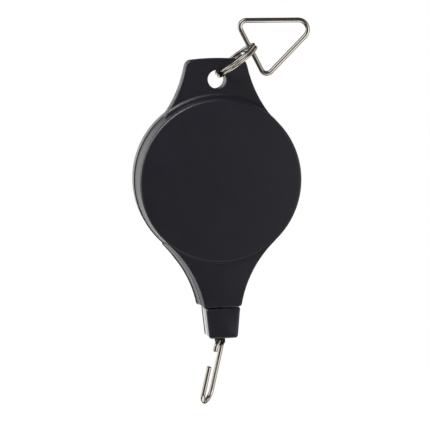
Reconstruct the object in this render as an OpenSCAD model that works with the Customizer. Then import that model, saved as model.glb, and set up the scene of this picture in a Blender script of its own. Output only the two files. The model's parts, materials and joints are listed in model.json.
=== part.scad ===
// Retractable hanging pulley: a spring reel in a two-shell case that pays out a cord with a wire hook.
// X is to the right, Y is to the back and Z is up. The origin is the centre of the case's back face,
// on the reel's axis. The case hangs from a triangular wire hanger on a split ring.

/* [Case] */
// Radius of the raised round face
face_r = 40; // [38:0.5:41]
// Depth of the case from its front face to its back face
case_depth = 25; // [24.8:0.1:25.2]
// Wall thickness of the shells
wall = 1.8; // [1.6:0.1:2]
// Thickness of the hanging tab
tab_depth = 8.4; // [7.6:0.2:9]
// Height of the tab's top above the reel axis
tab_top_z = 59.6; // [58.8:0.2:60.4]
// Height of the hanging hole above the reel axis
hole_z = 49.2; // [48.8:0.1:49.6]
// Radius of the hanging hole
hole_r = 4.5; // [4.4:0.1:4.7]
// Height of the neck's lower end
neck_end_z = -62.1; // [-62.6:0.1:-61.8]

/* [Reel] */
// Radius at which the cord is wound
wind_r = 31.85; // [31:0.05:32]
// Outer radius of the reel's flanges
flange_r = 36.5; // [36:0.1:37]
// Number of ratchet teeth
teeth = 24; // [24:1:24]
// Diameter of the pull cord
cord_d = 1.5; // [1.2:0.1:1.6]

/* [Stop block] */
// Width of the block's face at its top
block_top_w = 15.9; // [15.4:0.1:16.4]
// Width of the block's face at its bottom
block_end_w = 13.4; // [13:0.1:14]
// Height of the block
block_h = 14.6; // [14.4:0.1:15]

/* [Wire parts] */
// Wire diameter of the hook
hook_wire_d = 2.4; // [2.2:0.1:2.4]
// Turn of the hook's open side away from the front
hook_turn = 32; // [0:1:60]
// Sideways lean of the hook
hook_lean = 14; // [0:1:20]
// Radius of the split ring at its wire's centre
ring_r = 11.5; // [11.5:0.1:11.9]
// Wire diameter of the split ring
ring_wire_d = 1.7; // [1.5:0.1:1.7]
// Slope of the split ring above the horizontal
ring_slope = 37; // [36:1:38]
// Wire diameter of the triangular hanger
hanger_wire_d = 2.4; // [2.2:0.1:2.4]

/* [Hidden] */
$fn = 96;

// Case
front_y = -case_depth;
seam_y = -case_depth / 2;
rim_r = 41.4;
back_r = 40.8;
edge_round = 0.8;
cavity_r = 38.8;
neck_face_y = front_y + 1.3;
neck_back_y = -1.3;
neck_steps = 4;
neck_draft = 2.2;
tab_front_y = seam_y - tab_depth / 2;
tab_back_y = seam_y + tab_depth / 2;
eps = 0.02;

// A bend is drawn this much thinner than the straight wire that laps it
bend_slim = 0.03;
join_len = 0.3;

// Tab outline: concave sides on one arc each
tab_arc = [72.8, 67.4];
tab_arc_r = 59;
tab_arc_end = 216;
tab_corner_r = 3;

// Neck outline: concave sides on one arc each
neck_arc = [63.8, -71.3];
neck_arc_r = 56;
neck_arc_top = 138;
neck_corner_r = 1.5;

// Screws of the case
screw_shank_r = 1.1;
screw_head_r = 2.2;
screw_head_h = 1.6;
screw_places = [[-12, 44.4], [12, 44.4], [-7.2, -55.6], [7.2, -55.6]];
boss_r = 2.6;
screw_tip_y = [-16, -16, -19, -19];
screw_seat_y = [tab_back_y - 2, tab_back_y - 2, -7, -7];

// Axle, reel and spring
journal_r = 2.5;
arbor_r = 4;
run_gap = 0.05;
journal_y = -17.4;
axle_front_y = front_y + 0.9;
axle_back_y = -1.9;
key_w = 5.6;
front_boss_r = 5;
front_boss_y = -22;
rear_boss_r = 7;
rear_boss_y = -4.4;
reel_front_y = -21.6;
ratchet_back_y = -18.6;
groove_front_y = -17.2;
groove_back_y = -7.8;
reel_back_y = -6.4;
core_r = wind_r - cord_d / 2;
cup_r = 29.3;
ratchet_bore_r = 32;
hub_r = 5.6;
hub_back_y = -17.8;
floor_t = 1.4;
cover_r = 33;
cover_back_y = -5.2;

// Ratchet: the steep faces stop the reel from winding back
tooth_root_r = 33.8;
tooth_tip_r = 36.2;
tooth_pitch = 360 / teeth;
steep_face_at = 261.5;

// Pawl, drawn at the place where it holds a tooth and then swung clear
pawl_x = 2;
pawl_z = -45.5;
pawl_clear_turn = 14;
pawl_tip_at = steep_face_at + 3;
pawl_tip_r = tooth_root_r + 1.4;
pawl_boss_r = 2.4;
pawl_pin_r = 1.2;
pawl_front_y = -21.4;
pawl_back_y = -18.9;
post_r = 3;
post_front_y = -16;
pin_front_y = -23;
pin_back_y = -11;
coil_wire_r = 0.36;
coil_r = 1.9;
coil_pitch = 0.64;

// Mainspring: close turns against the cup and a few open turns down to the arbor
spring_t = 0.4;
spring_front_y = journal_y + 0.1;
spring_back_y = -7.4;
spring_outer_r = cup_r - 0.5;
spring_close_turns = 6;
spring_close_pitch = 0.9;
spring_open_turns = 2;
spring_inner_r = arbor_r + 0.4;
spring_steps = 30;

// Cord exit
exit_z = neck_end_z + 3.8;
eyelet_r = 3;
eyelet_flange_r = 4.2;
eyelet_bore_r = 1.4;
exit_bend_r = 4;
tangent_turn = asin(wind_r / -exit_z);
cord_start_x = wind_r * cos(tangent_turn);
cord_start_z = -wind_r * sin(tangent_turn);

// Stop block
block_top_z = neck_end_z - 0.7;
block_end_z = block_top_z - block_h;
block_steps = 4;
block_draft = 0.9;
ferrule_r = 2.6;
ferrule_top_z = block_top_z - 3.6;
ferrule_end_z = block_end_z + 4;
chamber_r = 3.1;
loop_mouth_r = 3;
block_screw_z = block_top_z - 7;
block_screw_x = 5;
block_seat_y = neck_back_y - 5;

// Cord loop and hook
hook_top_z = block_end_z - 3.1;
hook_wire_r = hook_wire_d / 2;
loop_gap = 0.08;
loop_r = hook_wire_r + cord_d / 2 + loop_gap;
strand_x = 0.8;
loop_open = 50;
strand_bend_r = (loop_r * cos(loop_open) - strand_x) / (1 - cos(loop_open));
bend_top_r = 3.8;
bend_end_r = 5.5;
bend_apart = 22.8;
tip_top_len = 1.2;
tip_end_len = 13.7;

// Split ring and hanger, in the tab's middle plane
ring_hold_x = 1.2;
ring_hold_z = hole_z + 2.1;
ring_x = ring_hold_x + ring_r * cos(ring_slope);
ring_z = ring_hold_z + ring_r * sin(ring_slope);
turn_apart = ring_wire_d - 0.06;
hanger_corners = [[10.7, 77.7], [53.4, 77.4], [25, 49.5]];
hanger_bend_r = [3.1, 4.7, 3];

// ---------- shared shapes ----------

// Round bar along Y between two depths
module bar_y(r, y0, y1) {
    translate([0, y1, 0])
        rotate([90, 0, 0])
            cylinder(r = r, h = y1 - y0);
}

// Plate between two depths from an outline drawn in X and Z
module plate(y0, y1) {
    translate([0, y1, 0])
        rotate([90, 0, 0])
            linear_extrude(height = y1 - y0)
                children();
}

// Body of revolution about Y from a profile of [radius, y] points
module turned_y(points) {
    rotate([-90, 0, 0])
        rotate_extrude()
            polygon(points);
}

// Round wire between two points
module wire(a, b, r) {
    span = b - a;
    turn = atan2(span[1], span[0]);
    tilt = acos(span[2] / norm(span));
    translate(a)
        rotate([0, tilt, turn])
            cylinder(r = r, h = norm(span));
}

// The same wire run a little way into the bend at each end
module long_wire(a, b, r) {
    lap = join_len * (b - a) / norm(b - a);
    wire(a - lap, b + lap, r);
}

function arc_points(x, z, r, from, to, steps) =
    [for (i = [0 : steps]) let (a = from + (to - from) * i / steps) [x + r * cos(a), z + r * sin(a)]];

function mirrored(points) =
    [for (i = [len(points) - 1 : -1 : 0]) [-points[i][0], points[i][1]]];

// Centre of a corner circle at height z that touches a side arc from the other side
function corner_centre(arc, arc_r, corner_r, z) =
    [arc[0] - sqrt(pow(arc_r + corner_r, 2) - pow(arc[1] - z, 2)), z];

// Outline of the tab, grown outwards by grow
module tab_outline(grow) {
    corner = corner_centre(tab_arc, tab_arc_r, tab_corner_r, tab_top_z - tab_corner_r);
    touch = atan2(tab_arc[1] - corner[1], tab_arc[0] - corner[0]);
    side = concat(
        arc_points(corner[0], corner[1], tab_corner_r + grow, 90, touch, 6),
        arc_points(tab_arc[0], tab_arc[1], tab_arc_r - grow, touch + 182, tab_arc_end, 12),
        [[20, 20]]
    );
    polygon(concat(side, mirrored(side)));
}

// Side of the neck, whose growth fades out where it meets the drum
function flare_points(grow, to, steps) =
    [for (i = [0 : steps])
        let (a = neck_arc_top + (to - neck_arc_top) * i / steps,
            r = neck_arc_r - grow * min(1, 0.1 + 0.3 * i))
            [neck_arc[0] + r * cos(a), neck_arc[1] + r * sin(a)]];

// Outline of the neck, grown sideways by grow
module neck_outline(grow) {
    corner = corner_centre(neck_arc, neck_arc_r - grow, neck_corner_r, neck_end_z + neck_corner_r);
    touch = atan2(neck_arc[1] - corner[1], neck_arc[0] - corner[0]);
    side = concat(
        [[20, -20]],
        flare_points(grow, touch + 178, 12),
        arc_points(corner[0], corner[1], neck_corner_r, touch, -90, 4)
    );
    polygon(concat(side, mirrored(side)));
}

// Outline of the stop block, grown outwards by grow
module block_outline(grow) {
    top = block_top_w / 2 + grow;
    end = block_end_w / 2 + grow;
    round_r = 1.6;
    side = concat(
        [[top, block_top_z]],
        arc_points(end - round_r, block_end_z + round_r, round_r, -5, -90, 4)
    );
    polygon(concat(side, mirrored(side)));
}

// Hollow inside the neck, open to the drum above it
module neck_cavity(y0, y1) {
    floor_z = neck_end_z + 2;
    plate(y0, y1)
        intersection() {
            neck_outline(-1.2);
            translate([-30, floor_z])
                square([60, -25 - floor_z]);
        }
}

// Outline of one half of the case before it is hollowed, from the seam to the outside
module half_solid(front) {
    outer_y = front ? front_y : 0;
    outer_r = front ? face_r : back_r;
    inset = front ? edge_round : -edge_round;
    turned_y([
        [0, outer_y], [outer_r - edge_round, outer_y], [outer_r, outer_y + inset], [rim_r, seam_y], [0, seam_y]
    ]);
    plate(front ? tab_front_y : seam_y, front ? seam_y : tab_back_y)
        tab_outline(0);
    for (i = [0 : neck_steps - 1]) {
        set_back = i * (seam_y - neck_face_y) / neck_steps;
        grow = i * neck_draft / (neck_steps - 1);
        plate(front ? neck_face_y + set_back : seam_y, front ? seam_y : neck_back_y - set_back)
            neck_outline(grow);
    }
}

// ---------- case ----------

module front_shell() {
    color([0.12, 0.12, 0.13])
    difference() {
        union() {
            difference() {
                half_solid(true);
                bar_y(cavity_r, front_y + wall, seam_y + 1);
                neck_cavity(neck_face_y + wall, seam_y + 1);
            }
            bar_y(front_boss_r, front_y + 1, front_boss_y);
            for (i = [2, 3])
                translate([screw_places[i][0], 0, screw_places[i][1]])
                    bar_y(boss_r, neck_face_y + 1, seam_y);
        }
        bar_y(journal_r, axle_front_y, front_boss_y + 1);
        translate([pawl_x, 0, pawl_z])
            bar_y(pawl_pin_r, pin_front_y, neck_face_y + wall + 1);
        translate([0, 0, hole_z])
            bar_y(hole_r, tab_front_y - 1, seam_y + 1);
        for (i = [0 : 3])
            translate([screw_places[i][0], 0, screw_places[i][1]])
                bar_y(screw_shank_r, screw_tip_y[i], seam_y + 1);
        eyelet_seat();
    }
}

module rear_shell() {
    color([0.12, 0.12, 0.13])
    difference() {
        union() {
            difference() {
                half_solid(false);
                bar_y(cavity_r, seam_y - 1, -wall);
                neck_cavity(seam_y - 1, neck_back_y - wall);
            }
            bar_y(rear_boss_r, rear_boss_y, -1);
            for (i = [2, 3])
                translate([screw_places[i][0], 0, screw_places[i][1]])
                    bar_y(boss_r + 0.2, seam_y, neck_back_y - 1);
            translate([pawl_x, 0, pawl_z])
                bar_y(post_r, post_front_y, neck_back_y - 1);
        }
        translate([-key_w / 2, rear_boss_y - 1, -key_w / 2])
            cube([key_w, axle_back_y - rear_boss_y + 1, key_w]);
        translate([pawl_x, 0, pawl_z])
            bar_y(pawl_pin_r, post_front_y - 1, pin_back_y);
        translate([0, 0, hole_z])
            bar_y(hole_r, seam_y - 1, tab_back_y + 1);
        for (i = [0 : 3])
            translate([screw_places[i][0], 0, screw_places[i][1]]) {
                bar_y(screw_shank_r, seam_y - 1, screw_seat_y[i] + 1);
                bar_y(screw_head_r + 0.2, screw_seat_y[i], 1);
            }
        eyelet_seat();
    }
}

// Four self-tapping screws, put in from the back
module case_screws() {
    color("silver")
    for (i = [0 : 3])
        translate([screw_places[i][0], 0, screw_places[i][1]])
            difference() {
                union() {
                    bar_y(screw_shank_r, screw_tip_y[i], screw_seat_y[i] + eps);
                    bar_y(screw_head_r, screw_seat_y[i], screw_seat_y[i] + screw_head_h);
                }
                for (turn = [0, 90])
                    rotate([0, turn, 0])
                        translate([-1.3, screw_seat_y[i] + screw_head_h - 0.8, -0.25])
                            cube([2.6, 1, 0.5]);
            }
}

// Fixed axle: thin journal in front, thick arbor for the spring, square end in the rear shell
module axle() {
    color("silver")
    difference() {
        union() {
            bar_y(journal_r, axle_front_y, journal_y + eps);
            bar_y(arbor_r, journal_y, rear_boss_y);
            translate([-key_w / 2, rear_boss_y - eps, -key_w / 2])
                cube([key_w, axle_back_y - rear_boss_y + eps, key_w]);
        }
        translate([-0.35, spring_front_y, 0])
            cube([0.7, spring_back_y - spring_front_y, arbor_r + 1]);
    }
}

module thrust_washers() {
    color("white") {
        difference() {
            bar_y(front_boss_r, front_boss_y + 0.05, reel_front_y - 0.05);
            bar_y(journal_r + run_gap, front_boss_y - 1, reel_front_y + 1);
        }
        difference() {
            bar_y(rear_boss_r, cover_back_y + 0.05, rear_boss_y - 0.05);
            bar_y(arbor_r + run_gap, cover_back_y - 1, rear_boss_y + 1);
        }
    }
}

// Seat of the eyelet in the neck's floor, half of it in each shell
module eyelet_seat() {
    translate([0, seam_y, neck_end_z - 1])
        cylinder(r = eyelet_r, h = 6);
}

module exit_eyelet() {
    floor_z = neck_end_z + 2;
    color("gold")
    translate([0, seam_y, 0])
        rotate_extrude()
            polygon([
                [eyelet_bore_r + 1, neck_end_z], [eyelet_r, neck_end_z], [eyelet_r, floor_z],
                [eyelet_flange_r, floor_z], [eyelet_flange_r, floor_z + 0.7], [eyelet_bore_r + 1.6, floor_z + 1.4],
                [eyelet_bore_r + 0.9, floor_z + 1.4], [eyelet_bore_r, floor_z + 0.6], [eyelet_bore_r, neck_end_z + 0.8]
            ]);
}

module pawl_pin() {
    color("silver")
    translate([pawl_x, 0, pawl_z])
        bar_y(pawl_pin_r, pin_front_y, pin_back_y);
}

// Torsion spring round the pawl's pin, one leg on the neck's wall side and one beside the pawl
module pawl_spring() {
    leg_y = pawl_back_y + 0.2 + coil_wire_r;
    color("silver")
    translate([pawl_x, 0, pawl_z]) {
        translate([0, leg_y, 0])
            rotate([-90, 0, 0])
                rotate_extrude()
                    for (i = [0 : 2])
                        translate([coil_r, i * coil_pitch])
                            circle(r = coil_wire_r, $fn = 24);
        wire([-coil_r, leg_y, 0], [-coil_r - 2.4, leg_y, 6], coil_wire_r - 0.06);
        wire([coil_r, leg_y + 2 * coil_pitch, 0], [coil_r + 2.6, leg_y + 2 * coil_pitch, 3], coil_wire_r - 0.06);
    }
}

// Cord inside the case: from the winding to the eyelet and through it
module cord_inner() {
    slant = [sin(tangent_turn), 0, cos(tangent_turn)];
    lead = exit_bend_r * tan(tangent_turn / 2);
    bend_end = [0, seam_y, exit_z] + lead * slant;
    start = [cord_start_x, seam_y, cord_start_z];
    color([0.1, 0.1, 0.1])
    difference() {
        union() {
            long_wire(bend_end, start, cord_d / 2);
            translate([exit_bend_r, seam_y, exit_z - lead])
                bend_xz(exit_bend_r, cord_d / 2 - bend_slim, 180 - tangent_turn, 180);
            wire([0, seam_y, exit_z - lead + join_len], [0, seam_y, neck_end_z], cord_d / 2);
        }
        bar_y(wind_r + cord_d / 2 + run_gap, front_y, 0);
    }
}

module pawl() {
    out = [cos(pawl_tip_at), sin(pawl_tip_at)];
    along = [-sin(pawl_tip_at), cos(pawl_tip_at)];
    tip = pawl_tip_r * out;
    pivot = [pawl_x, pawl_z];
    color("gainsboro")
    translate([pawl_x, 0, pawl_z])
        rotate([0, -pawl_clear_turn, 0])
            translate([-pawl_x, 0, -pawl_z])
                difference() {
                    union() {
                        translate([pawl_x, 0, pawl_z])
                            bar_y(pawl_boss_r, pawl_front_y, pawl_back_y);
                        plate(pawl_front_y, pawl_back_y)
                            polygon([
                                tip, tip + 3 * out, pivot - 2.2 * along - 0.4 * out, pivot + 2.2 * along - 0.4 * out,
                                tip + 3.4 * (along * cos(35) + out * sin(35))
                            ]);
                    }
                    translate([pawl_x, 0, pawl_z])
                        bar_y(pawl_pin_r + run_gap, pawl_front_y - 1, pawl_back_y + 1);
                }
}

// ---------- reel ----------

// Spool with the spring cup inside it and the cord's groove outside
module reel() {
    color("whitesmoke")
    difference() {
        turned_y([
            [arbor_r, reel_front_y], [ratchet_bore_r, reel_front_y], [ratchet_bore_r, ratchet_back_y],
            [flange_r, ratchet_back_y], [flange_r, groove_front_y],
            [core_r, groove_front_y], [core_r, groove_back_y], [flange_r, groove_back_y], [flange_r, reel_back_y],
            [cup_r, reel_back_y], [cup_r, reel_front_y + floor_t],
            [hub_r, reel_front_y + floor_t], [hub_r, hub_back_y], [arbor_r, hub_back_y]
        ]);
        for (turn = [0 : 60 : 300])
            rotate([0, turn, 0])
                translate([17.5, 0, 0])
                    bar_y(4.5, reel_front_y - 1, reel_front_y + floor_t + 1);
    }
}

// Toothed ring on the front of the spool
module ratchet_ring() {
    color("silver")
    difference() {
        plate(reel_front_y, ratchet_back_y)
            polygon([
                for (i = [0 : teeth - 1])
                    let (steep = steep_face_at + i * tooth_pitch)
                        each [
                            tooth_tip_r * [cos(steep), sin(steep)],
                            tooth_root_r * [cos(steep), sin(steep)],
                            (tooth_root_r + tooth_tip_r) / 2 * [cos(steep + tooth_pitch / 2), sin(steep + tooth_pitch / 2)]
                        ]
            ]);
        bar_y(ratchet_bore_r, reel_front_y - 1, ratchet_back_y + 1);
    }
}

module reel_bush() {
    color("gold")
    difference() {
        bar_y(arbor_r, reel_front_y, hub_back_y);
        bar_y(journal_r + run_gap, reel_front_y - 1, hub_back_y + 1);
    }
}

// Cover of the spring cup, which also runs on the arbor
module spring_cover() {
    color("whitesmoke")
    difference() {
        union() {
            bar_y(cover_r, reel_back_y, cover_back_y);
            difference() {
                bar_y(cup_r, reel_back_y - 0.8, reel_back_y + eps);
                bar_y(cup_r - 1.2, reel_back_y - 2, reel_back_y);
            }
        }
        bar_y(arbor_r + run_gap, reel_back_y - 2, cover_back_y + 1);
    }
}

function spring_radius(t) =
    let (close_end = spring_outer_r - spring_close_turns * spring_close_pitch)
    t < spring_close_turns
        ? spring_outer_r - t * spring_close_pitch
        : close_end - (t - spring_close_turns) / spring_open_turns * (close_end - spring_inner_r);

module mainspring() {
    last = (spring_close_turns + spring_open_turns) * spring_steps;
    outer = [for (i = [0 : last]) let (t = i / spring_steps) spring_radius(t) * [cos(360 * t), sin(360 * t)]];
    inner = [for (i = [last : -1 : 0]) let (t = i / spring_steps)
        (spring_radius(t) - spring_t) * [cos(360 * t), sin(360 * t)]];
    color("slategray")
    plate(spring_front_y, spring_back_y)
        polygon(concat(outer, inner));
}

// The cord's turns on the spool, as one closed ring of their outer shape
module cord_wound() {
    color([0.1, 0.1, 0.1])
    difference() {
        bar_y(wind_r + cord_d / 2, groove_front_y + 0.1, groove_back_y - 0.1);
        bar_y(core_r, front_y, 0);
    }
}

// ---------- stop block ----------

module block_hollows() {
    translate([0, seam_y, 0]) {
        translate([0, 0, block_top_z - 5])
            cylinder(r = 1.2, h = 6);
        translate([0, 0, ferrule_end_z])
            cylinder(r = ferrule_r, h = ferrule_top_z - ferrule_end_z);
        translate([0, 0, block_end_z - 1])
            cylinder(r = loop_mouth_r, h = ferrule_end_z - block_end_z + 1 + eps);
    }
}

// One half of the block: its walls slope outwards to the seam in even steps
module block_half(front) {
    for (i = [0 : block_steps - 1]) {
        set_back = i * (seam_y - neck_face_y) / block_steps;
        grow = i * block_draft / (block_steps - 1);
        plate(front ? neck_face_y + set_back : seam_y, front ? seam_y : neck_back_y - set_back)
            block_outline(grow);
    }
}

module block_front() {
    color([0.12, 0.12, 0.13])
    difference() {
        block_half(true);
        block_hollows();
        for (side = [-1, 1])
            translate([side * block_screw_x, 0, block_screw_z])
                bar_y(0.9, seam_y - 4.5, seam_y + 1);
    }
}

module block_rear() {
    color([0.12, 0.12, 0.13])
    difference() {
        block_half(false);
        block_hollows();
        for (side = [-1, 1])
            translate([side * block_screw_x, 0, block_screw_z]) {
                bar_y(0.9, seam_y - 1, block_seat_y + 1);
                bar_y(1.8, block_seat_y, neck_back_y + 1);
            }
    }
}

module block_screws() {
    color("silver")
    for (side = [-1, 1])
        translate([side * block_screw_x, 0, block_screw_z])
            difference() {
                union() {
                    bar_y(0.9, seam_y - 4.5, block_seat_y + eps);
                    bar_y(1.7, block_seat_y, block_seat_y + 1.2);
                }
                for (turn = [0, 90])
                    rotate([0, turn, 0])
                        translate([-1, block_seat_y + 0.6, -0.2])
                            cube([2, 1, 0.4]);
            }
}

// Crimped sleeve that closes the cord's end loop
module cord_ferrule() {
    color("silver")
    translate([0, seam_y, 0])
        difference() {
            translate([0, 0, ferrule_end_z])
                cylinder(r = ferrule_r, h = ferrule_top_z - ferrule_end_z);
            translate([0, 0, ferrule_top_z - 2])
                cylinder(r = cord_d / 2, h = 3);
        }
}

// The length of cord that pays out between the eyelet and the block
module cord_run() {
    color([0.1, 0.1, 0.1])
    translate([0, seam_y, ferrule_top_z - 2])
        cylinder(r = cord_d / 2, h = neck_end_z - ferrule_top_z + 2);
}

// ---------- loop and hook ----------

// Everything on the swivel is drawn facing the front and then turned with the hook
module turned_with_hook() {
    translate([0, seam_y, hook_top_z])
        rotate([0, 0, -hook_turn])
            children();
}

module cord_loop() {
    color([0.1, 0.1, 0.1])
    turned_with_hook() {
        bend_xz(loop_r, cord_d / 2, 175 - loop_open, 365 + loop_open);
        for (side = [0, 1])
            mirror([side, 0, 0]) {
                bend_x = strand_x + strand_bend_r;
                bend_z = (loop_r + strand_bend_r) * sin(loop_open);
                translate([bend_x, 0, bend_z])
                    bend_xz(strand_bend_r, cord_d / 2 - bend_slim, 180, 180 + loop_open);
                wire([strand_x, 0, bend_z - join_len], [strand_x, 0, ferrule_end_z - hook_top_z], cord_d / 2);
            }
    }
}

// Part of a ring of wire that stands in the X-Z plane, angles counted from +X towards +Z
module bend_xz(r, wire_r, from, to) {
    rotate([90, 0, 0])
        rotate([0, 0, from])
            rotate_extrude(angle = to - from)
                translate([r, 0])
                    circle(r = wire_r, $fn = 32);
}

module hook() {
    shank_y = bend_top_r;
    end_bend_y = shank_y - bend_end_r;
    end_bend_z = -bend_top_r - bend_apart;
    tip_y = end_bend_y - bend_end_r;
    color("silver")
    turned_with_hook()
        rotate([0, hook_lean, 0]) {
            translate([0, 0, -bend_top_r])
                hook_bend(bend_top_r, 0, 180);
            wire([0, shank_y, end_bend_z], [0, shank_y, -bend_top_r], hook_wire_r);
            wire([0, -bend_top_r, -bend_top_r - tip_top_len], [0, -bend_top_r, -bend_top_r], hook_wire_r);
            translate([0, end_bend_y, end_bend_z])
                hook_bend(bend_end_r, 180, 360);
            wire([0, tip_y, end_bend_z], [0, tip_y, end_bend_z + tip_end_len], hook_wire_r);
        }
}

// Half a ring of hook wire that stands in the Y-Z plane, angles counted from +Y towards +Z
module hook_bend(r, from, to) {
    rotate([90, 0, 90])
        rotate([0, 0, from])
            rotate_extrude(angle = to - from)
                translate([r, 0])
                    circle(r = hook_wire_r, $fn = 32);
}

// ---------- ring and hanger ----------

// Two turns of wire side by side, edge-on to the tab
module split_ring() {
    color("silver")
    translate([ring_x, seam_y, ring_z])
        rotate([0, -ring_slope, 0])
            for (side = [-1, 1])
                translate([0, 0, side * turn_apart / 2])
                    rotate_extrude()
                        translate([ring_r, 0])
                            circle(r = ring_wire_d / 2, $fn = 32);
}

function unit(v) = v / norm(v);

// The hanger's corners run clockwise, so each bend's centre lies to the right of the way in
function corner_at(i) = hanger_corners[(i + 3) % 3];
function way_in(i) = unit(corner_at(i) - corner_at(i - 1));
function right_of(v) = [v[1], -v[0]];
function half_turn_at(i) =
    let (a = way_in(i), b = way_in(i + 1))
    acos(a * b) / 2;
function bend_starts(i) = corner_at(i) - hanger_bend_r[i] * tan(half_turn_at(i)) * way_in(i);
function bend_ends(i) = corner_at(i) + hanger_bend_r[i] * tan(half_turn_at(i)) * way_in(i + 1);
function bend_centre(i) = bend_starts(i) + hanger_bend_r[i] * right_of(way_in(i));

// Closed triangle of wire: three straight sides and a round bend at each corner
module hanger() {
    color("silver")
    for (i = [0 : 2]) {
        next = (i + 1) % 3;
        leave = bend_ends(i);
        reach = bend_starts(next);
        centre = bend_centre(i);
        out = -right_of(way_in(i + 1));
        long_wire([leave[0], seam_y, leave[1]], [reach[0], seam_y, reach[1]], hanger_wire_d / 2);
        translate([centre[0], seam_y, centre[1]])
            bend_xz(hanger_bend_r[i], hanger_wire_d / 2 - bend_slim, atan2(out[1], out[0]),
                atan2(out[1], out[0]) + 2 * half_turn_at(i));
    }
}

front_shell();
rear_shell();
case_screws();
axle();
thrust_washers();
exit_eyelet();
pawl_pin();
pawl_spring();
cord_inner();
pawl();
reel();
ratchet_ring();
reel_bush();
spring_cover();
mainspring();
cord_wound();
block_front();
block_rear();
block_screws();
cord_ferrule();
cord_run();
cord_loop();
hook();
split_ring();
hanger();
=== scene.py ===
import json
import math

import bmesh
import bpy
from mathutils import Matrix, Vector


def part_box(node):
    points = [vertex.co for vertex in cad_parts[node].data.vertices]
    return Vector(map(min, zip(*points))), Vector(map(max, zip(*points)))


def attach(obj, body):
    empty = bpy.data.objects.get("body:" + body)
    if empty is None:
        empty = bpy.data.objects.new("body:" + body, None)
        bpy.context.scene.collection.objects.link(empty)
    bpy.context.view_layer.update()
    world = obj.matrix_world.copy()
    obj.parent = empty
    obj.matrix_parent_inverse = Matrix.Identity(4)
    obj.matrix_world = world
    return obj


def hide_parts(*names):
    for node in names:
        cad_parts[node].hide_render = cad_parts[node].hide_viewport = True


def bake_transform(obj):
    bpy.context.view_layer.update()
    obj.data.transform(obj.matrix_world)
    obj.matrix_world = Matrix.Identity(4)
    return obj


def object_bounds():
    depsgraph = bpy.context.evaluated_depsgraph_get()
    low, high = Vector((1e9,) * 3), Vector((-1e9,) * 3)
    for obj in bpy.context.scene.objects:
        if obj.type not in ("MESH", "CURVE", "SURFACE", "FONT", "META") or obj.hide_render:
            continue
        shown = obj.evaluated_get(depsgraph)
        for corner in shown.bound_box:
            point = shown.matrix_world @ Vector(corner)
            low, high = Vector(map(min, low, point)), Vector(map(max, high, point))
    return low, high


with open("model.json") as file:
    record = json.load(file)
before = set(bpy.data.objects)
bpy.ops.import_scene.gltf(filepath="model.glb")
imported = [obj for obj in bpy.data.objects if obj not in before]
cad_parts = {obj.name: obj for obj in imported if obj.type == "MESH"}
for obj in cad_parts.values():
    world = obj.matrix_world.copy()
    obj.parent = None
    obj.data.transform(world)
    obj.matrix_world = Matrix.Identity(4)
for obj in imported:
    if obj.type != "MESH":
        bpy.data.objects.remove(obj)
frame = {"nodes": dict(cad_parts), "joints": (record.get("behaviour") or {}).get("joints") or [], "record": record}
cad_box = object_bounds()

# Lengths are in millimetres, apart from bump heights and the camera's clipping, which are in
# metres. mm() turns a point into metres. Angles are in degrees where they are named values.
SCALE = 0.001


def box_mm(node):
    low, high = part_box(node)
    return Vector(low) / SCALE, Vector(high) / SCALE


def joint_mm(name):
    joint = next(j for j in frame["joints"] if j["name"] == name)
    return Vector(joint["pos_m"]) / SCALE


# ---------------------------------------------------------------- driving sizes

shell_low, shell_high = box_mm("front_shell")
rear_high = box_mm("rear_shell")[1]
block_low, block_high = box_mm("block_front")
ferrule_low, ferrule_high = box_mm("cord_ferrule")

FRONT_Y = shell_low.y
SEAM_Y = shell_high.y
BACK_Y = rear_high.y
RIM_R = shell_high.x
FACE_R = RIM_R - 1.4
BACK_R = RIM_R - 0.6
TAB_TOP = shell_high.z
NECK_END = shell_low.z
HOLE_Z = 49.2
HOLE_R = 4.5
HOLE_LIP = 0.35
HOLE_LIP_FLARE = 0.4
TAB_HALF_DEPTH = 4.2
TAB_EDGE = 0.55
TAB_LIP = 0.2
TAB_FILLET = 2.0
NECK_FACE_Y = FRONT_Y + 1.3
NECK_BACK_Y = BACK_Y - 1.3
NECK_DRAFT = 2.45
NECK_EDGE = 0.55
NECK_FILLET = 0.45
NECK_FLOOR = 2
# A groove is its distance from the face, its width and its depth
NECK_GROOVE = (4.3, 0.7, 0.4)
FILLET_INSET = 0.3
CAVITY_R = 38.8
CAVITY_INSET = 1.2
WALL = 1.8
SEAM_LIP = 0.45
SEAM_LIP_DEPTH = 0.25
DRUM_EDGE = 1.4
MOUTH_R = 3.0
TAB_SCREWS = ((-12, 44.4), (12, 44.4))
TAB_SCREW_SEAT = SEAM_Y + TAB_HALF_DEPTH - 2
NECK_SCREWS = ((-7.2, -55.6), (7.2, -55.6))
NECK_SCREW_SEAT = -7
SCREW_RECESS_R = 2.4
SCREW_HOLE_R = 1.1
SCREW_BOSS_R = 2.8

BLOCK_TOP = block_high.z
BLOCK_END = block_low.z - 0.3
BLOCK_TOP_HALF = 8.5
BLOCK_END_HALF = 7.25
BLOCK_DRAFT = 0.5
BLOCK_TOP_ROUND = 0.5
BLOCK_END_ROUND = 1.6
BLOCK_EDGE = 1.1
BLOCK_LIP = 0.25
BLOCK_GROOVE = (4.3, 0.5, 0.2)
BLOCK_CORD_HOLE_R = 1.2
BLOCK_SCREWS = ((-5, BLOCK_TOP - 7), (5, BLOCK_TOP - 7))
BLOCK_SCREW_SEAT = NECK_BACK_Y - 5
BLOCK_SCREW_RECESS_R = 1.8
BLOCK_SCREW_HOLE_R = 0.9

# Edges sharper than this, in degrees, stay crisp
CRISP_MOULDING = 34
CRISP_WIRE = 40

ROUND_STEPS = 224
WIRE_SIDES = 28


# ---------------------------------------------------------------- mesh helpers

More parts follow.
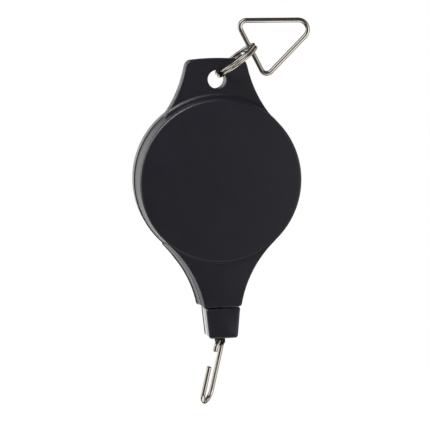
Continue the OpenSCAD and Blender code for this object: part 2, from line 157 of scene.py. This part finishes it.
def new_object(name, points, faces):
    mesh = bpy.data.meshes.new(name)
    mesh.from_pydata([p * SCALE for p in points], [], faces)
    mesh.validate()
    piece = bpy.data.objects.new(name, mesh)
    bpy.context.scene.collection.objects.link(piece)
    return piece


def loft(name, rings, closed=False):
    """Skin over rings with the same number of points. An open skin gets a flat cap at each end."""
    count = len(rings[0])
    points = [Vector(p) for ring in rings for p in ring]
    faces = []
    spans = len(rings) if closed else len(rings) - 1
    for i in range(spans):
        here = i * count
        there = ((i + 1) % len(rings)) * count
        for j in range(count):
            k = (j + 1) % count
            faces.append((here + j, here + k, there + k, there + j))
    if not closed:
        faces.append(tuple(reversed(range(count))))
        faces.append(tuple(range((len(rings) - 1) * count, len(rings) * count)))
    piece = new_object(name, points, faces)
    face_outwards(piece)
    return piece


def face_outwards(piece):
    work = bmesh.new()
    work.from_mesh(piece.data)
    bmesh.ops.recalc_face_normals(work, faces=work.faces)
    work.to_mesh(piece.data)
    work.free()


def full_turn(steps):
    return [2 * math.pi * i / steps for i in range(steps)]


def quarter_turn(steps):
    return [math.pi / 2 * i / steps for i in range(steps + 1)]


def circle_ring(radius, y, steps=ROUND_STEPS, centre=(0, 0)):
    return [
        Vector((centre[0] + radius * math.cos(a), y, centre[1] + radius * math.sin(a)))
        for a in full_turn(steps)
    ]


def turned(name, profile, steps=ROUND_STEPS, centre=(0, 0)):
    """Body of revolution about Y from (radius, y) pairs."""
    return loft(name, [circle_ring(r, y, steps, centre) for r, y in profile])


def bar(radius, y0, y1, centre=(0, 0), steps=64):
    return turned("bar", ((radius, y0), (radius, y1)), steps, centre)


def upright_bar(radius, z0, z1):
    """Round bar along Z, centred on the seam."""
    return loft("upright_bar", [
        [Vector((radius * math.cos(a), SEAM_Y + radius * math.sin(a), z)) for a in full_turn(48)]
        for z in (z0, z1)
    ])


def combine(piece, other, how):
    """Applies a boolean to piece and removes other."""
    modifier = piece.modifiers.new("combine", "BOOLEAN")
    modifier.operation = how
    modifier.solver = "EXACT"
    modifier.object = other
    bpy.context.view_layer.update()
    solved = bpy.data.meshes.new_from_object(
        piece.evaluated_get(bpy.context.evaluated_depsgraph_get())
    )
    piece.modifiers.clear()
    old = piece.data
    piece.data = solved
    bpy.data.meshes.remove(old)
    bpy.data.objects.remove(other)


def arc(centre_x, centre_z, radius, start, end, steps):
    turn = [math.radians(start + (end - start) * i / steps) for i in range(steps + 1)]
    return [(centre_x + radius * math.cos(a), centre_z + radius * math.sin(a)) for a in turn]


def both_sides(side):
    return side + [(-x, z) for x, z in reversed(side)]


def layered(name, outline, layers):
    """Solid from the same outline at several depths; layers holds (y, growth) pairs."""
    return loft(name, [[Vector((x, y, z)) for x, z in outline(grow)] for y, grow in layers])


def edge_layers(face_y, inwards, radius, steps=6):
    """Layers of a rounded edge that starts on the face and ends on the wall."""
    return [
        (face_y + inwards * radius * (1 - math.cos(a)), -radius * (1 - math.sin(a)))
        for a in quarter_turn(steps)
    ]


def mark_sharp(piece, angle):
    """Smooth shading that keeps every edge sharper than the angle."""
    piece.data.polygons.foreach_set("use_smooth", [True] * len(piece.data.polygons))
    piece.data.set_sharp_from_angle(angle=math.radians(angle))


# ---------------------------------------------------------------- outlines

TAB_ARC = (72.8, 67.4)
TAB_ARC_R = 58.7
TAB_ARC_END = 218
TAB_CORNER_R = 3.6
NECK_ARC = (63.8, -71.3)
NECK_ARC_R = 55.5
NECK_ARC_TOP = 131.8
NECK_CORNER_R = 1.5
# Part of the growth that counts at the top of the neck's sides, and what each step down adds
NECK_SHARE = 0.75
NECK_SHARE_STEP = 0.03
TAB_CROWN_R = 112
# The tab and the neck end inside the drum, this far across and up or down
INSIDE_DRUM = 20


def corner_centre(centre, radius, corner, z):
    """Centre, at height z, of a round corner that meets the concave arc smoothly."""
    return centre[0] - math.sqrt((radius + corner) ** 2 - (centre[1] - z) ** 2), z


def tab_outline(grow):
    """Crowned top, round corners and concave sides that run down into the drum."""
    corner = corner_centre(TAB_ARC, TAB_ARC_R, TAB_CORNER_R, TAB_TOP - TAB_CORNER_R)
    touch = math.degrees(math.atan2(TAB_ARC[1] - corner[1], TAB_ARC[0] - corner[0]))
    crown = TAB_CROWN_R - math.sqrt(TAB_CROWN_R ** 2 - corner[0] ** 2)
    side = [
        (corner[0] * i / 8, TAB_TOP + grow - crown * (i / 8) ** 2)
        for i in range(1, 8)
    ]
    start = 90 - math.degrees(math.asin(corner[0] / TAB_CROWN_R))
    side += arc(corner[0], corner[1] - crown, TAB_CORNER_R + grow, start, touch, 14)
    side += arc(*TAB_ARC, TAB_ARC_R - grow, touch + 181, TAB_ARC_END, 26)
    side += [(INSIDE_DRUM, INSIDE_DRUM)]
    return both_sides(side)


def neck_outline(grow):
    """Concave sides from the drum down to small round corners."""
    corner = corner_centre(NECK_ARC, NECK_ARC_R - grow, NECK_CORNER_R, NECK_END + NECK_CORNER_R)
    touch = math.degrees(math.atan2(NECK_ARC[1] - corner[1], NECK_ARC[0] - corner[0]))
    lift = min(grow, 0)
    side = [(INSIDE_DRUM, -INSIDE_DRUM)]
    for i in range(31):
        share = min(1, NECK_SHARE + NECK_SHARE_STEP * i)
        a = math.radians(NECK_ARC_TOP + (touch + 179 - NECK_ARC_TOP) * i / 30)
        radius = NECK_ARC_R - grow * share
        side.append((NECK_ARC[0] + radius * math.cos(a), NECK_ARC[1] + radius * math.sin(a)))
    side += arc(*corner, NECK_CORNER_R + lift, touch, -90, 10)
    return both_sides(side)


def block_outline(grow):
    top = BLOCK_TOP_HALF + grow
    end = BLOCK_END_HALF + grow
    low = min(grow, 0)
    top_centre = (top - BLOCK_TOP_ROUND, BLOCK_TOP + low - BLOCK_TOP_ROUND)
    end_centre = (end - BLOCK_END_ROUND, BLOCK_END - low + BLOCK_END_ROUND)
    side = arc(*top_centre, BLOCK_TOP_ROUND, 90, -5, 6)
    side += arc(*end_centre, BLOCK_END_ROUND, -5, -90, 12)
    return both_sides(side)


# ---------------------------------------------------------------- case shells

def wall_layers(face_y, towards_seam, edge, draft, lip, groove=None):
    """Rounded outer edge, a fine groove if one is given, then a wall that slopes outwards to the seam.
    The rear half stands a little proud of the front half there, with a bevelled rim."""
    depth = abs(SEAM_Y - face_y)

    def growth(distance):
        return draft * distance / depth

    layers = edge_layers(face_y, towards_seam, edge)
    layers = [(y, g + growth(abs(y - face_y))) for y, g in layers]
    if groove:
        at, width, deep = groove
        for step, cut in ((0, 0), (0.35, deep), (0.65, deep), (1, 0)):
            distance = at + step * width
            layers.append((face_y + towards_seam * distance, growth(distance) - cut))
    if towards_seam < 0:
        layers.append((SEAM_Y + SEAM_LIP_DEPTH, draft))
    layers.append((SEAM_Y, draft - lip))
    return layers


def drum_profile(outer_y, outer_r, towards_seam, edge):
    profile = [
        (outer_r - edge * (1 - math.sin(a)), outer_y + towards_seam * edge * (1 - math.cos(a)))
        for a in quarter_turn(8)
    ]
    if towards_seam < 0:
        profile.append((RIM_R, SEAM_Y + SEAM_LIP_DEPTH))
    profile.append((RIM_R - SEAM_LIP, SEAM_Y))
    return profile


def fillet_solid(name, radius, plane_y, away, size):
    """Concave ring between the drum's wall and a plane, on the side that away points to."""
    inner = radius - 3
    below = plane_y - away
    profile = [(inner, below), (radius + size, below)]
    profile += [
        (radius + size * (1 - math.sin(a)), plane_y + away * size * (1 - math.cos(a)))
        for a in quarter_turn(6)
    ]
    profile += [(inner, plane_y + away * size)]
    rings = [circle_ring(r, y) for r, y in profile]
    return loft(name, rings, closed=True)


def drum_radius_at(y, outer_y, outer_r):
    """Radius of the drum's sloping wall between its face and the seam."""
    share = (y - outer_y) / (SEAM_Y - outer_y)
    return outer_r + (RIM_R - outer_r) * share


def case_half(name, front):
    towards_seam = 1 if front else -1
    outer_y = FRONT_Y if front else BACK_Y
    outer_r = FACE_R if front else BACK_R
    tab_y = SEAM_Y - towards_seam * TAB_HALF_DEPTH
    neck_y = NECK_FACE_Y if front else NECK_BACK_Y

    shell = turned(name, drum_profile(outer_y, outer_r, towards_seam, DRUM_EDGE))

    tab = layered("tab", tab_outline, wall_layers(tab_y, towards_seam, TAB_EDGE, 0, TAB_LIP))
    combine(shell, tab, "UNION")
    neck_groove = NECK_GROOVE if front else None
    neck = layered(
        "neck", neck_outline,
        wall_layers(neck_y, towards_seam, NECK_EDGE, NECK_DRAFT, SEAM_LIP, neck_groove),
    )
    combine(shell, neck, "UNION")

    fillets = ((tab_y, tab_outline, TAB_FILLET), (neck_y, neck_outline, NECK_FILLET))
    for plane_y, outline, size in fillets:
        ring = fillet_solid(
            "fillet", drum_radius_at(plane_y, outer_y, outer_r), plane_y, -towards_seam, size
        )
        limit = layered(
            "limit", outline,
            ((plane_y - 2 * size, -FILLET_INSET), (plane_y + 2 * size, -FILLET_INSET)),
        )
        combine(ring, limit, "INTERSECT")
        combine(shell, ring, "UNION")

    inner_y = outer_y + towards_seam * WALL
    combine(shell, bar(CAVITY_R, inner_y, SEAM_Y + towards_seam, steps=ROUND_STEPS), "DIFFERENCE")

    def cavity_outline(grow):
        return [(x, max(z, NECK_END + NECK_FLOOR)) for x, z in neck_outline(grow)]

    hollow = layered(
        "hollow", cavity_outline,
        ((neck_y + towards_seam * WALL, -CAVITY_INSET), (SEAM_Y + towards_seam, -CAVITY_INSET)),
    )
    combine(shell, hollow, "DIFFERENCE")
    combine(shell, upright_bar(MOUTH_R, NECK_END - 1, NECK_END + 5), "DIFFERENCE")

    if not front:
        for centre in NECK_SCREWS:
            combine(shell, bar(SCREW_BOSS_R, SEAM_Y + 0.05, NECK_BACK_Y - 1, centre), "UNION")
        for centres, seat in ((TAB_SCREWS, TAB_SCREW_SEAT), (NECK_SCREWS, NECK_SCREW_SEAT)):
            for centre in centres:
                combine(shell, bar(SCREW_RECESS_R, seat, 1, centre), "DIFFERENCE")
                combine(shell, bar(SCREW_HOLE_R, SEAM_Y - 1, seat + 0.5, centre), "DIFFERENCE")

    hole = turned("hole", (
        (HOLE_R + HOLE_LIP + HOLE_LIP_FLARE, tab_y - towards_seam * HOLE_LIP_FLARE),
        (HOLE_R, tab_y + towards_seam * HOLE_LIP),
        (HOLE_R, SEAM_Y + towards_seam),
    ), 96, (0, HOLE_Z))
    combine(shell, hole, "DIFFERENCE")
    mark_sharp(shell, CRISP_MOULDING)
    return shell


front_skin = case_half("case_front", True)
rear_skin = case_half("case_rear", False)
for skin, node in ((front_skin, "front_shell"), (rear_skin, "rear_shell")):
    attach(skin, "case")
    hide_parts(node)


# ---------------------------------------------------------------- stop block

def block_half(name, front):
    towards_seam = 1 if front else -1
    face_y = NECK_FACE_Y if front else NECK_BACK_Y
    groove = BLOCK_GROOVE if front else None
    block = layered(
        name, block_outline,
        wall_layers(face_y, towards_seam, BLOCK_EDGE, BLOCK_DRAFT, BLOCK_LIP, groove),
    )

    for radius, z0, z1 in (
        (BLOCK_CORD_HOLE_R, ferrule_high.z - 1, BLOCK_TOP + 1),
        (ferrule_high.x + 0.5, ferrule_low.z, ferrule_high.z),
        (MOUTH_R, BLOCK_END - 1, ferrule_low.z + 0.02),
    ):
        combine(block, upright_bar(radius, z0, z1), "DIFFERENCE")
    if not front:
        for centre in BLOCK_SCREWS:
            recess = bar(BLOCK_SCREW_RECESS_R, BLOCK_SCREW_SEAT, 1, centre, 40)
            combine(block, recess, "DIFFERENCE")
            screw_hole = bar(BLOCK_SCREW_HOLE_R, SEAM_Y - 1, BLOCK_SCREW_SEAT + 1, centre, 40)
            combine(block, screw_hole, "DIFFERENCE")
    mark_sharp(block, CRISP_MOULDING)
    return block


block_pieces = (
    (block_half("block_cover", True), "block_front"),
    (block_half("block_body", False), "block_rear"),
)
for piece, node in block_pieces:
    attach(piece, "block")
    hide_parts(node)


# ---------------------------------------------------------------- wire parts

def swept(name, path, radius, closed=False, sides=WIRE_SIDES, cap_round=0.0):
    """Round wire along a path, with its frame carried along so that it doesn't twist; a closed
    wire spreads what is left over its whole length. cap_round rounds the edge of open ends."""
    path = [Vector(p) for p in path]
    count = len(path)

    def tangent(i):
        if closed:
            return (path[(i + 1) % count] - path[i - 1]).normalized()
        return (path[min(i + 1, count - 1)] - path[max(i - 1, 0)]).normalized()

    normal = tangent(0).orthogonal().normalized()
    frames = []
    for i in range(count):
        along = tangent(i)
        normal = (normal - along * normal.dot(along)).normalized()
        frames.append((path[i], normal.copy(), along.cross(normal)))
    if closed:
        start, last = frames[0][1], frames[-1]
        twist = math.atan2(last[2].dot(start), last[1].dot(start))
    else:
        twist = 0
    rings = []
    for i, (centre, side, up) in enumerate(frames):
        offset = twist * i / count
        rings.append([
            centre + (side * math.cos(a + offset) + up * math.sin(a + offset)) * radius
            for a in full_turn(sides)
        ])
    if cap_round and not closed:
        for end, centre, out in ((0, path[0], -tangent(0)), (-1, path[-1], tangent(count - 1))):
            ring = rings[end]
            extra = []
            for angle in (30, 60, 90):
                a = math.radians(angle)
                shrink = (radius - cap_round * (1 - math.cos(a))) / radius
                rise = out * cap_round * math.sin(a)
                extra.append([centre + (p - centre) * shrink + rise for p in ring])
            rings = list(reversed(extra)) + rings if end == 0 else rings + extra
    wire = loft(name, rings, closed)
    mark_sharp(wire, CRISP_WIRE)
    return wire


def straight(a, b, steps):
    a, b = Vector(a), Vector(b)
    return [a.lerp(b, i / steps) for i in range(steps + 1)]


def joined(*stretches):
    """One path from stretches that start where the last one ends."""
    path = list(stretches[0])
    for stretch in stretches[1:]:
        path += list(stretch)[1:]
    return path


# Split ring: two turns of wire, with the crossing and both ends on the far side from the front
ring_low, ring_high = box_mm("split_ring")
ring_centre = (ring_low + ring_high) / 2
ring_hold = joint_mm("ring_swing")
ring_out = ring_centre - ring_hold
ring_r = ring_out.length
ring_out.normalize()
ring_side = Vector((0, 1, 0))
ring_axis = ring_out.cross(ring_side)
RING_WIRE_R = 0.83
RING_LAY = 0.84
RING_STEP = 0.07
RING_START = 62
RING_TURNS = 1.985
RING_POINTS = 300


def ring_point(turn):
    """Point on the wire; turn runs from 0 to 2, and the wire steps across just before turn 1."""
    step = min(max((turn - (1 - RING_STEP)) / RING_STEP, 0), 1)
    ease = step * step * (3 - 2 * step)
    lay = RING_LAY * (2 * ease - 1)
    angle = 2 * math.pi * turn + math.radians(RING_START)
    return (
        ring_centre
        + ring_out * (ring_r * math.cos(angle))
        + ring_side * (ring_r * math.sin(angle))
        + ring_axis * lay
    )


ring_path = [ring_point(RING_TURNS * i / RING_POINTS) for i in range(RING_POINTS + 1)]
ring_piece = swept("key_ring", ring_path, RING_WIRE_R, cap_round=0.15)
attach(ring_piece, "ring")
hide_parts("split_ring")


# Triangular hanger: straight sides, round corners
HANGER_CORNERS = ((10.7, 77.7), (53.4, 77.4), (25, 49.5))
HANGER_BENDS = (3.1, 4.7, 3)
HANGER_WIRE_R = 1.2


def hanger_path():
    corners = [Vector(c) for c in HANGER_CORNERS]
    path = []
    for i, corner in enumerate(corners):
        into = (corner - corners[i - 1]).normalized()
        out = (corners[(i + 1) % 3] - corner).normalized()
        sweep = into.angle(out)
        half = sweep / 2
        reach = HANGER_BENDS[i] * math.tan(half)
        inward = (out - into).normalized()
        centre = corner + inward * (HANGER_BENDS[i] / math.cos(half))
        first = corner - into * reach - centre
        for step in range(17):
            a = -sweep * step / 16
            x = first.x * math.cos(a) - first.y * math.sin(a)
            z = first.x * math.sin(a) + first.y * math.cos(a)
            path.append(Vector((centre.x + x, SEAM_Y, centre.y + z)))
        next_corner = corners[(i + 1) % 3]
        next_half = out.angle((corners[(i + 2) % 3] - next_corner).normalized()) / 2
        end = next_corner - out * HANGER_BENDS[(i + 1) % 3] * math.tan(next_half)
        path += straight(path[-1], (end.x, SEAM_Y, end.y), 24)[1:-1]
    return path


hanger_piece = swept("wire_triangle", hanger_path(), HANGER_WIRE_R, closed=True)
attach(hanger_piece, "hanger")
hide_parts("hanger")


# Hook: drawn in the plane x = 0, leant sideways, then turned with the loop
HOOK_TURN = -32
HOOK_LEAN = 14
HOOK_WIRE_R = 1.2
BEND_TOP_R = 3.8
BEND_END_R = 5.5
BEND_APART = 22.8
TIP_TOP_LEN = 1.2
TIP_END_LEN = 13.7
hook_top = joint_mm("hook_swing")
swivel_turn = Matrix.Rotation(math.radians(HOOK_TURN), 4, "Z")
hook_lean = Matrix.Rotation(math.radians(HOOK_LEAN), 4, "Y")
hook_place = Matrix.Translation(hook_top) @ swivel_turn @ hook_lean


def bend_yz(centre_y, centre_z, radius, start, end, steps):
    return [Vector((0, y, z)) for y, z in arc(centre_y, centre_z, radius, start, end, steps)]


end_bend_y = BEND_TOP_R - BEND_END_R
end_bend_z = -BEND_TOP_R - BEND_APART
tip_y = end_bend_y - BEND_END_R
hook_path = joined(
    straight((0, -BEND_TOP_R, -BEND_TOP_R - TIP_TOP_LEN), (0, -BEND_TOP_R, -BEND_TOP_R), 3),
    bend_yz(0, -BEND_TOP_R, BEND_TOP_R, 180, 0, 36),
    straight((0, BEND_TOP_R, -BEND_TOP_R), (0, BEND_TOP_R, end_bend_z), 20),
    bend_yz(end_bend_y, end_bend_z, BEND_END_R, 360, 180, 40),
    straight((0, tip_y, end_bend_z), (0, tip_y, end_bend_z + TIP_END_LEN), 14),
)
hook_path = [hook_place @ p for p in hook_path]
hook_piece = swept("wire_hook", hook_path, HOOK_WIRE_R, cap_round=0.18)
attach(hook_piece, "hook")
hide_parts("hook")


# ---------------------------------------------------------------- cord

CORD_R = 0.75
LOOP_R = HOOK_WIRE_R + CORD_R + 0.08
STRAND_X = 0.8
# Degrees up from level, on each side, where the cord leaves the hook's wire
LOOP_OPEN = 50


def loop_path():
    """Down one strand, round under the hook's wire and up the other strand."""
    open_cos = math.cos(math.radians(LOOP_OPEN))
    bend_r = (LOOP_R * open_cos - STRAND_X) / (1 - open_cos)
    bend_x = STRAND_X + bend_r
    bend_z = (LOOP_R + bend_r) * math.sin(math.radians(LOOP_OPEN))
    top_z = ferrule_low.z - hook_top.z
    left = [(-STRAND_X, top_z), (-STRAND_X, (top_z + bend_z) / 2)]
    left += arc(-bend_x, bend_z, bend_r, 0, -LOOP_OPEN, 12)
    under = arc(0, 0, LOOP_R, 180 - LOOP_OPEN, 360 + LOOP_OPEN, 60)[1:-1]
    right = [(-x, z) for x, z in reversed(left)]
    place = Matrix.Translation(hook_top) @ swivel_turn
    return [place @ Vector((x, 0, z)) for x, z in left + under + right]


loop_piece = swept("end_loop", loop_path(), CORD_R, sides=24)
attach(loop_piece, "swivel")
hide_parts("cord_loop")

# Straight run: it stretches between the case and the block
run_low, run_high = box_mm("cord_run")
RUN_SPANS = 90
run_path = straight((0, SEAM_Y, run_high.z), (0, SEAM_Y, run_low.z), RUN_SPANS)
run_piece = swept("pull_cord", run_path, CORD_R - 0.01, sides=24)
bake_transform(run_piece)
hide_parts("cord_run")


# ---------------------------------------------------------------- materials

def material(name, base, roughness, metallic=0.0, specular=0.5):
    mat = bpy.data.materials.new(name)
    mat.use_nodes = True
    tree = mat.node_tree
    shader = tree.nodes["Principled BSDF"]
    shader.inputs["Base Color"].default_value = (*base, 1)
    shader.inputs["Roughness"].default_value = roughness
    shader.inputs["Metallic"].default_value = metallic
    shader.inputs["Specular IOR Level"].default_value = specular
    return mat, tree, shader


def add(tree, kind, **values):
    node = tree.nodes.new(kind)
    for key, value in values.items():
        if key in node.inputs:
            node.inputs[key].default_value = value
        else:
            setattr(node, key, value)
    return node


def object_coordinates(tree):
    return add(tree, "ShaderNodeTexCoord").outputs["Object"]


def noise(tree, scale, detail=2.0, rough=0.5):
    node = add(tree, "ShaderNodeTexNoise", Scale=scale, Detail=detail, Roughness=rough)
    tree.links.new(object_coordinates(tree), node.inputs["Vector"])
    return node.outputs["Fac"]


def remap(tree, value, low, high):
    node = add(tree, "ShaderNodeMapRange")
    node.inputs["To Min"].default_value = low
    node.inputs["To Max"].default_value = high
    tree.links.new(value, node.inputs["Value"])
    return node.outputs["Result"]


def bump(tree, shader, height, strength, distance):
    node = add(tree, "ShaderNodeBump", Strength=strength, Distance=distance)
    tree.links.new(height, node.inputs["Height"])
    tree.links.new(node.outputs["Normal"], shader.inputs["Normal"])


def tint(tree, shader, value, dark, light):
    """Base colour between dark and light."""
    blend = add(tree, "ShaderNodeMix", data_type="RGBA")
    blend.inputs["A"].default_value = (*dark, 1)
    blend.inputs["B"].default_value = (*light, 1)
    tree.links.new(value, blend.inputs["Factor"])
    tree.links.new(blend.outputs["Result"], shader.inputs["Base Color"])


def moulded(name, dark, light, roughness, grain, specular):
    """Moulded plastic: spark-eroded grain, faint flow tone and small changes in sheen."""
    mat, tree, shader = material(name, light, roughness, specular=specular)
    tint(tree, shader, noise(tree, 45, 3), dark, light)
    sheen = remap(tree, noise(tree, 180, 4), roughness - 0.05, roughness + 0.05)
    tree.links.new(sheen, shader.inputs["Roughness"])
    bump(tree, shader, noise(tree, 2600, 3, 0.6), grain, 0.00006)
    return mat


def plated(name, base, roughness, ripple):
    """Bright plating over drawn wire: faint drawing marks and a slightly uneven polish."""
    mat, tree, shader = material(name, base, roughness, 1.0)
    tint(tree, shader, noise(tree, 400, 3), tuple(c * 0.9 for c in base), base)
    shader.inputs["Specular Tint"].default_value = (*(c * 0.45 for c in base), 1)
    polish = remap(tree, noise(tree, 900, 4), roughness * 0.7, roughness * 1.5)
    tree.links.new(polish, shader.inputs["Roughness"])
    bump(tree, shader, noise(tree, 1100, 2), ripple, 0.00005)
    return mat


def brushed(name, base, roughness):
    """Plain metal with fine turning or rolling marks."""
    mat, tree, shader = material(name, base, roughness, 1.0)
    wave = add(tree, "ShaderNodeTexWave", Scale=900.0, Distortion=6.0, Detail=3.0)
    tree.links.new(object_coordinates(tree), wave.inputs["Vector"])
    finish = remap(tree, wave.outputs["Fac"], roughness - 0.06, roughness + 0.08)
    tree.links.new(finish, shader.inputs["Roughness"])
    tint(tree, shader, noise(tree, 300, 3), tuple(c * 0.82 for c in base), base)
    bump(tree, shader, wave.outputs["Fac"], 0.15, 0.00004)
    return mat


def braided(name, dark, light):
    """Round braid: two crossing sets of slanting strands, with painted shade darkening the grooves between them.
    """
    mat, tree, shader = material(name, light, 0.75, specular=0.25)
    coordinates = object_coordinates(tree)
    height = None
    for slant in (38, -38):
        turn = add(tree, "ShaderNodeMapping")
        turn.inputs["Rotation"].default_value = (math.radians(slant), math.radians(slant), 0)
        tree.links.new(coordinates, turn.inputs["Vector"])
        wave = add(tree, "ShaderNodeTexWave", Scale=620.0, Distortion=1.0, bands_direction="Z")
        tree.links.new(turn.outputs["Vector"], wave.inputs["Vector"])
        if height is None:
            height = wave.outputs["Fac"]
        else:
            top = add(tree, "ShaderNodeMath", operation="MAXIMUM")
            tree.links.new(height, top.inputs[0])
            tree.links.new(wave.outputs["Fac"], top.inputs[1])
            height = top.outputs["Value"]
    # Painted shade: the base colour goes dark where the braid's height is low, in the grooves between strands
    tint(tree, shader, height, dark, light)
    bump(tree, shader, height, 0.6, 0.00012)
    return mat


MATERIALS = {
    "black_plastic": moulded(
        "matte_black", (0.0043, 0.0038, 0.0074), (0.0068, 0.0062, 0.0108), 0.42, 0.35, 0.4
    ),
    "gloss_black_plastic": moulded(
        "gloss_black", (0.0115, 0.0115, 0.0155), (0.015, 0.015, 0.020), 0.10, 0.08, 0.4
    ),
    "white_nylon": moulded("nylon", (0.74, 0.73, 0.68), (0.82, 0.81, 0.77), 0.42, 0.15, 0.5),
    "bright_nickel": plated("nickel", (0.74, 0.70, 0.64), 0.12, 0.01),
    "zinc_steel": brushed("zinc", (0.66, 0.67, 0.68), 0.30),
    "spring_steel": brushed("spring", (0.36, 0.37, 0.39), 0.34),
    "brass_part": brushed("brass", (0.76, 0.58, 0.26), 0.26),
    # The cord's darker colour is painted shade in the grooves of the braid
    "black_cord": braided("braid", (0.004, 0.004, 0.005), (0.022, 0.022, 0.024)),
}

slot_of = {entry["node"]: entry["material_slot"] for entry in frame["record"]["subparts"]}


def dress(piece, slot):
    piece.data.materials.clear()
    piece.data.materials.append(MATERIALS[slot])


for node, piece in frame["nodes"].items():
    dress(piece, slot_of[node])
new_pieces = (
    (front_skin, "black_plastic"),
    (rear_skin, "black_plastic"),
    (block_pieces[0][0], "gloss_black_plastic"),
    (block_pieces[1][0], "gloss_black_plastic"),
    (ring_piece, "bright_nickel"),
    (hanger_piece, "bright_nickel"),
    (hook_piece, "bright_nickel"),
    (loop_piece, "black_cord"),
    (run_piece, "black_cord"),
)
for piece, slot in new_pieces:
    dress(piece, slot)


# ---------------------------------------------------------------- floor, light and camera

# The floor lies below the hook's lowest place, with the cord fully out
CORD_PULL = 900
FLOOR_DROP = 45
FLOOR_HALF = 4000
floor_z = cad_box[0][2] / SCALE - CORD_PULL - FLOOR_DROP
floor_corners = [
    Vector((x * FLOOR_HALF, y * FLOOR_HALF, floor_z))
    for x, y in ((-1, -1), (1, -1), (1, 1), (-1, 1))
]
floor = new_object("floor", floor_corners, [(0, 1, 2, 3)])
floor_mat, _, floor_shader = material("pale_floor", (0.9, 0.9, 0.9), 0.7)
floor_shader.inputs["Emission Color"].default_value = (1, 1, 1, 1)
floor_shader.inputs["Emission Strength"].default_value = 1.0
floor.data.materials.append(floor_mat)
floor.visible_glossy = False

world = bpy.data.worlds.new("studio")
bpy.context.scene.world = world
world.use_nodes = True
sky = world.node_tree
paper = sky.nodes["Background"]
paper.inputs["Color"].default_value = (1, 1, 1, 1)
paper.inputs["Strength"].default_value = 1.0
room = sky.nodes.new("ShaderNodeBackground")
rays = sky.nodes.new("ShaderNodeLightPath")
choose = sky.nodes.new("ShaderNodeMixShader")
sky.links.new(rays.outputs["Is Camera Ray"], choose.inputs["Fac"])
sky.links.new(room.outputs["Background"], choose.inputs[1])
sky.links.new(paper.outputs["Background"], choose.inputs[2])
sky.links.new(choose.outputs["Shader"], sky.nodes["World Output"].inputs["Surface"])
sky_direction = add(sky, "ShaderNodeTexCoord").outputs["Generated"]


def towards(azimuth, elevation):
    """Unit vector away from the case. Azimuth is counted from the front towards the left."""
    a, e = math.radians(azimuth), math.radians(elevation)
    return Vector((-math.sin(a) * math.cos(e), -math.cos(a) * math.cos(e), math.sin(e)))


def glow(azimuth, elevation, full, none, strength):
    """Soft patch of the room's light, full within one angle and gone beyond the other."""
    dot = add(sky, "ShaderNodeVectorMath", operation="DOT_PRODUCT")
    dot.inputs[1].default_value = towards(azimuth, elevation)
    sky.links.new(sky_direction, dot.inputs[0])
    patch = add(sky, "ShaderNodeMapRange", interpolation_type="SMOOTHSTEP")
    patch.inputs["From Min"].default_value = math.cos(math.radians(none))
    patch.inputs["From Max"].default_value = math.cos(math.radians(full))
    patch.inputs["To Max"].default_value = strength
    sky.links.new(dot.outputs["Value"], patch.inputs["Value"])
    return patch.outputs["Result"]


def brightest_of(values):
    brightest = values[0]
    for value in values[1:]:
        node = add(sky, "ShaderNodeMath", operation="MAXIMUM")
        sky.links.new(brightest, node.inputs[0])
        sky.links.new(value, node.inputs[1])
        brightest = node.outputs["Value"]
    return brightest


ROOM_DARK = 0.06
patches = brightest_of([
    glow(162, -10, 18, 36, 1.7),
    glow(96, 4, 22, 40, 0.9),
    glow(-46, -12, 16, 34, 1.3),
    glow(-115, 0, 30, 50, 0.55),
    glow(0, -76, 26, 42, 1.1),
    glow(48, 52, 16, 34, 1.1),
])
room_light = add(sky, "ShaderNodeMath", operation="ADD")
room_light.inputs[1].default_value = ROOM_DARK
sky.links.new(patches, room_light.inputs[0])
room.inputs["Color"].default_value = (1.0, 0.985, 0.96, 1)
sky.links.new(room_light.outputs["Value"], room.inputs["Strength"])


# The softboxes shine on the moulded pieces only; the bright wires mirror the room's soft patches
moulded_pieces = bpy.data.collections.new("moulded_pieces")
for piece_name in ("case_front", "case_rear", "block_cover", "block_body"):
    moulded_pieces.objects.link(bpy.data.objects[piece_name])


def softbox(name, azimuth, elevation, distance, width, height, power):
    """Area light that looks at the case."""
    light = bpy.data.lights.new(name, "AREA")
    light.shape = "RECTANGLE"
    light.size = width * SCALE
    light.size_y = height * SCALE
    light.energy = power
    lamp = bpy.data.objects.new(name, light)
    bpy.context.scene.collection.objects.link(lamp)
    away = towards(azimuth, elevation)
    lamp.location = (Vector((0, SEAM_Y, 0)) + away * distance) * SCALE
    lamp.rotation_euler = away.to_track_quat("Z", "Y").to_euler()
    lamp.light_linking.receiver_collection = moulded_pieces


softbox("left_box", 88, 14, 700, 300, 560, 5.0)
softbox("key_box", 48, 48, 700, 300, 300, 6.0)
softbox("right_box", -70, 10, 800, 160, 600, 1.0)


# Camera: from the left and a little above, aimed at the middle of the case's front face
CAMERA_AZIMUTH = 10.3
CAMERA_ELEVATION = 5.3
CAMERA_ROLL = -0.98
CAMERA_DISTANCE = 778
# Width of the picture's frame at that distance
FRAME_WIDTH = 208.84
SENSOR_WIDTH = 36
camera_data = bpy.data.cameras.new("camera")
camera_data.sensor_width = SENSOR_WIDTH
camera_data.lens = SENSOR_WIDTH * CAMERA_DISTANCE / FRAME_WIDTH
camera_data.clip_start = 0.01
camera_data.clip_end = 30
camera_data.shift_x = -0.0157
camera_data.shift_y = -0.0784
camera = bpy.data.objects.new("camera", camera_data)
bpy.context.scene.collection.objects.link(camera)
backwards = towards(CAMERA_AZIMUTH, CAMERA_ELEVATION)
rightwards = Vector((0, 0, 1)).cross(backwards).normalized()
upwards = backwards.cross(rightwards)
roll = math.radians(CAMERA_ROLL)
right = rightwards * math.cos(roll) + upwards * math.sin(roll)
up = upwards * math.cos(roll) - rightwards * math.sin(roll)
camera_turn = Matrix((right, up, backwards)).transposed().to_4x4()
aim = Vector((0, FRONT_Y, 0))
camera_place = Matrix.Translation((aim + backwards * CAMERA_DISTANCE) * SCALE)
camera.matrix_world = camera_place @ camera_turn
bpy.context.scene.camera = camera
bpy.context.scene.view_settings.view_transform = "Standard"
